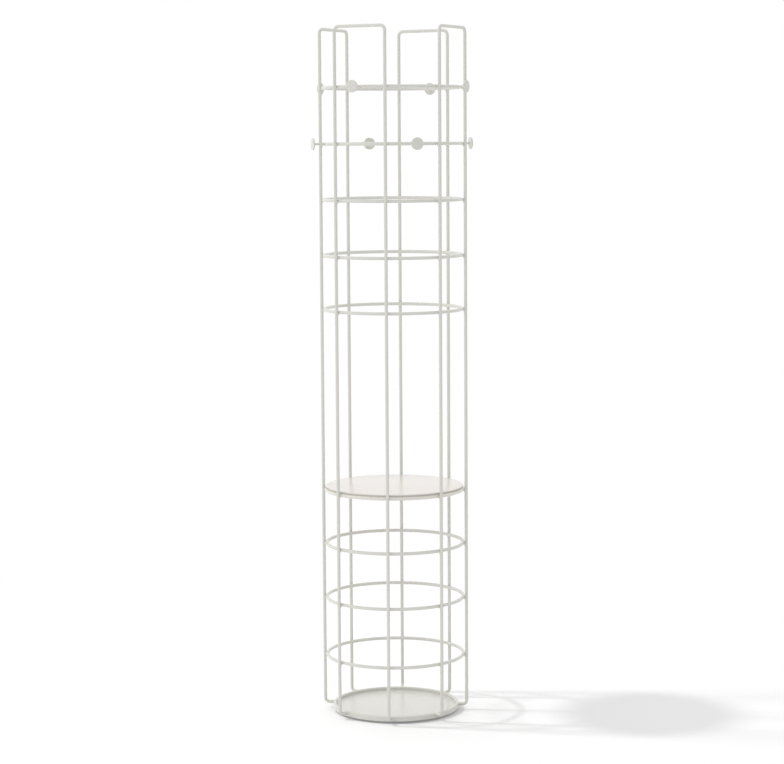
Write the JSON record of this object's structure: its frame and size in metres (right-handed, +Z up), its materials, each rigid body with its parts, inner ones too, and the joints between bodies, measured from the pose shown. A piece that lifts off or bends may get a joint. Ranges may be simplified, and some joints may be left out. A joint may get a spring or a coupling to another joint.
{
  "type": "coat stand",
  "caption": "Free-standing round wire-cage coat stand with disc hooks on its top rings, a loose round shelf at hip height and a heavy round base plate.",
  "frame": {"origin": "on the floor under the stand's vertical axis", "axes": "+Z up along the stand's axis; -Y is the front, with the middle of one hoop on it; +X is the right"},
  "size_m": [0.447, 0.447, 1.86],
  "materials": {
    "frame_paint": "satin powder coat, pale warm grey",
    "shelf_board": "satin lacquered board, warm off-white",
    "foot_rubber": "matt black rubber",
    "screw_steel": "zinc-plated steel"
  },
  "bodies": {
    "frame": {"hoop_front": "frame_paint", "hoop_right": "frame_paint", "hoop_back": "frame_paint", "hoop_left": "frame_paint", "hook_ring_upper": "frame_paint", "hook_ring_lower": "frame_paint", "upper_ring_1": "frame_paint", "upper_ring_2": "frame_paint", "upper_ring_3": "frame_paint", "shelf_ring": "frame_paint", "lower_ring_1": "frame_paint", "lower_ring_2": "frame_paint", "lower_ring_3": "frame_paint", "base_rim": "frame_paint", "base_plate": "frame_paint", "upper_hook_peg_front": "frame_paint", "upper_hook_peg_right": "frame_paint", "upper_hook_peg_back": "frame_paint", "upper_hook_peg_left": "frame_paint", "upper_hook_disc_front": "frame_paint", "upper_hook_disc_right": "frame_paint", "upper_hook_disc_back": "frame_paint", "upper_hook_disc_left": "frame_paint", "lower_hook_peg_front_right": "frame_paint", "lower_hook_peg_back_right": "frame_paint", "lower_hook_peg_back_left": "frame_paint", "lower_hook_peg_front_left": "frame_paint", "lower_hook_disc_front_right": "frame_paint", "lower_hook_disc_back_right": "frame_paint", "lower_hook_disc_back_left": "frame_paint", "lower_hook_disc_front_left": "frame_paint", "foot_front_right": "foot_rubber", "foot_back_right": "foot_rubber", "foot_back_left": "foot_rubber", "foot_front_left": "foot_rubber", "foot_screw_front_right": "screw_steel", "foot_screw_back_right": "screw_steel", "foot_screw_back_left": "screw_steel", "foot_screw_front_left": "screw_steel"},
    "shelf": {"shelf_panel": "shelf_board"}
  },
  "joints": [
    {"name": "shelf_lift", "type": "slide", "parent": "frame", "child": "shelf", "axis": [0, 0, 1], "range_m": [0, 0.475]}
  ]
}
